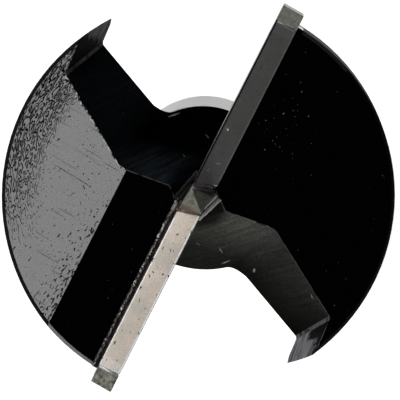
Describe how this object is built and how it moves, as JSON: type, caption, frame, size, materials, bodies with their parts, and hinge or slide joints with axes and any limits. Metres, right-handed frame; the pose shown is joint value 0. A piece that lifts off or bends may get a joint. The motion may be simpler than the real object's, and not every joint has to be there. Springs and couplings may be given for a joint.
{
  "type": "forstner bit",
  "caption": "Winged forstner bit with a black head, brazed carbide cutters with raised spurs, a carbide centre point and a plain round shank, for boring flat-bottomed hinge holes in wood.",
  "frame": {"origin": "centre of the shank's flat end", "axes": "+Z along the axis from the shank's end to the centre point, +X along one cutter"},
  "size_m": [0.035, 0.0328, 0.072],
  "materials": {
    "body": "gloss black paint on the head and the front of the neck, bare turned steel on the rest",
    "carbide": "ground sintered carbide, dull grey with fine pits",
    "braze": "dull pale braze, rough at its free surface"
  },
  "bodies": {
    "root": {"body": "body", "cutter_a": "carbide", "cutter_b": "carbide", "centre_point": "carbide", "braze_a": "braze", "braze_b": "braze"}
  },
  "joints": []
}
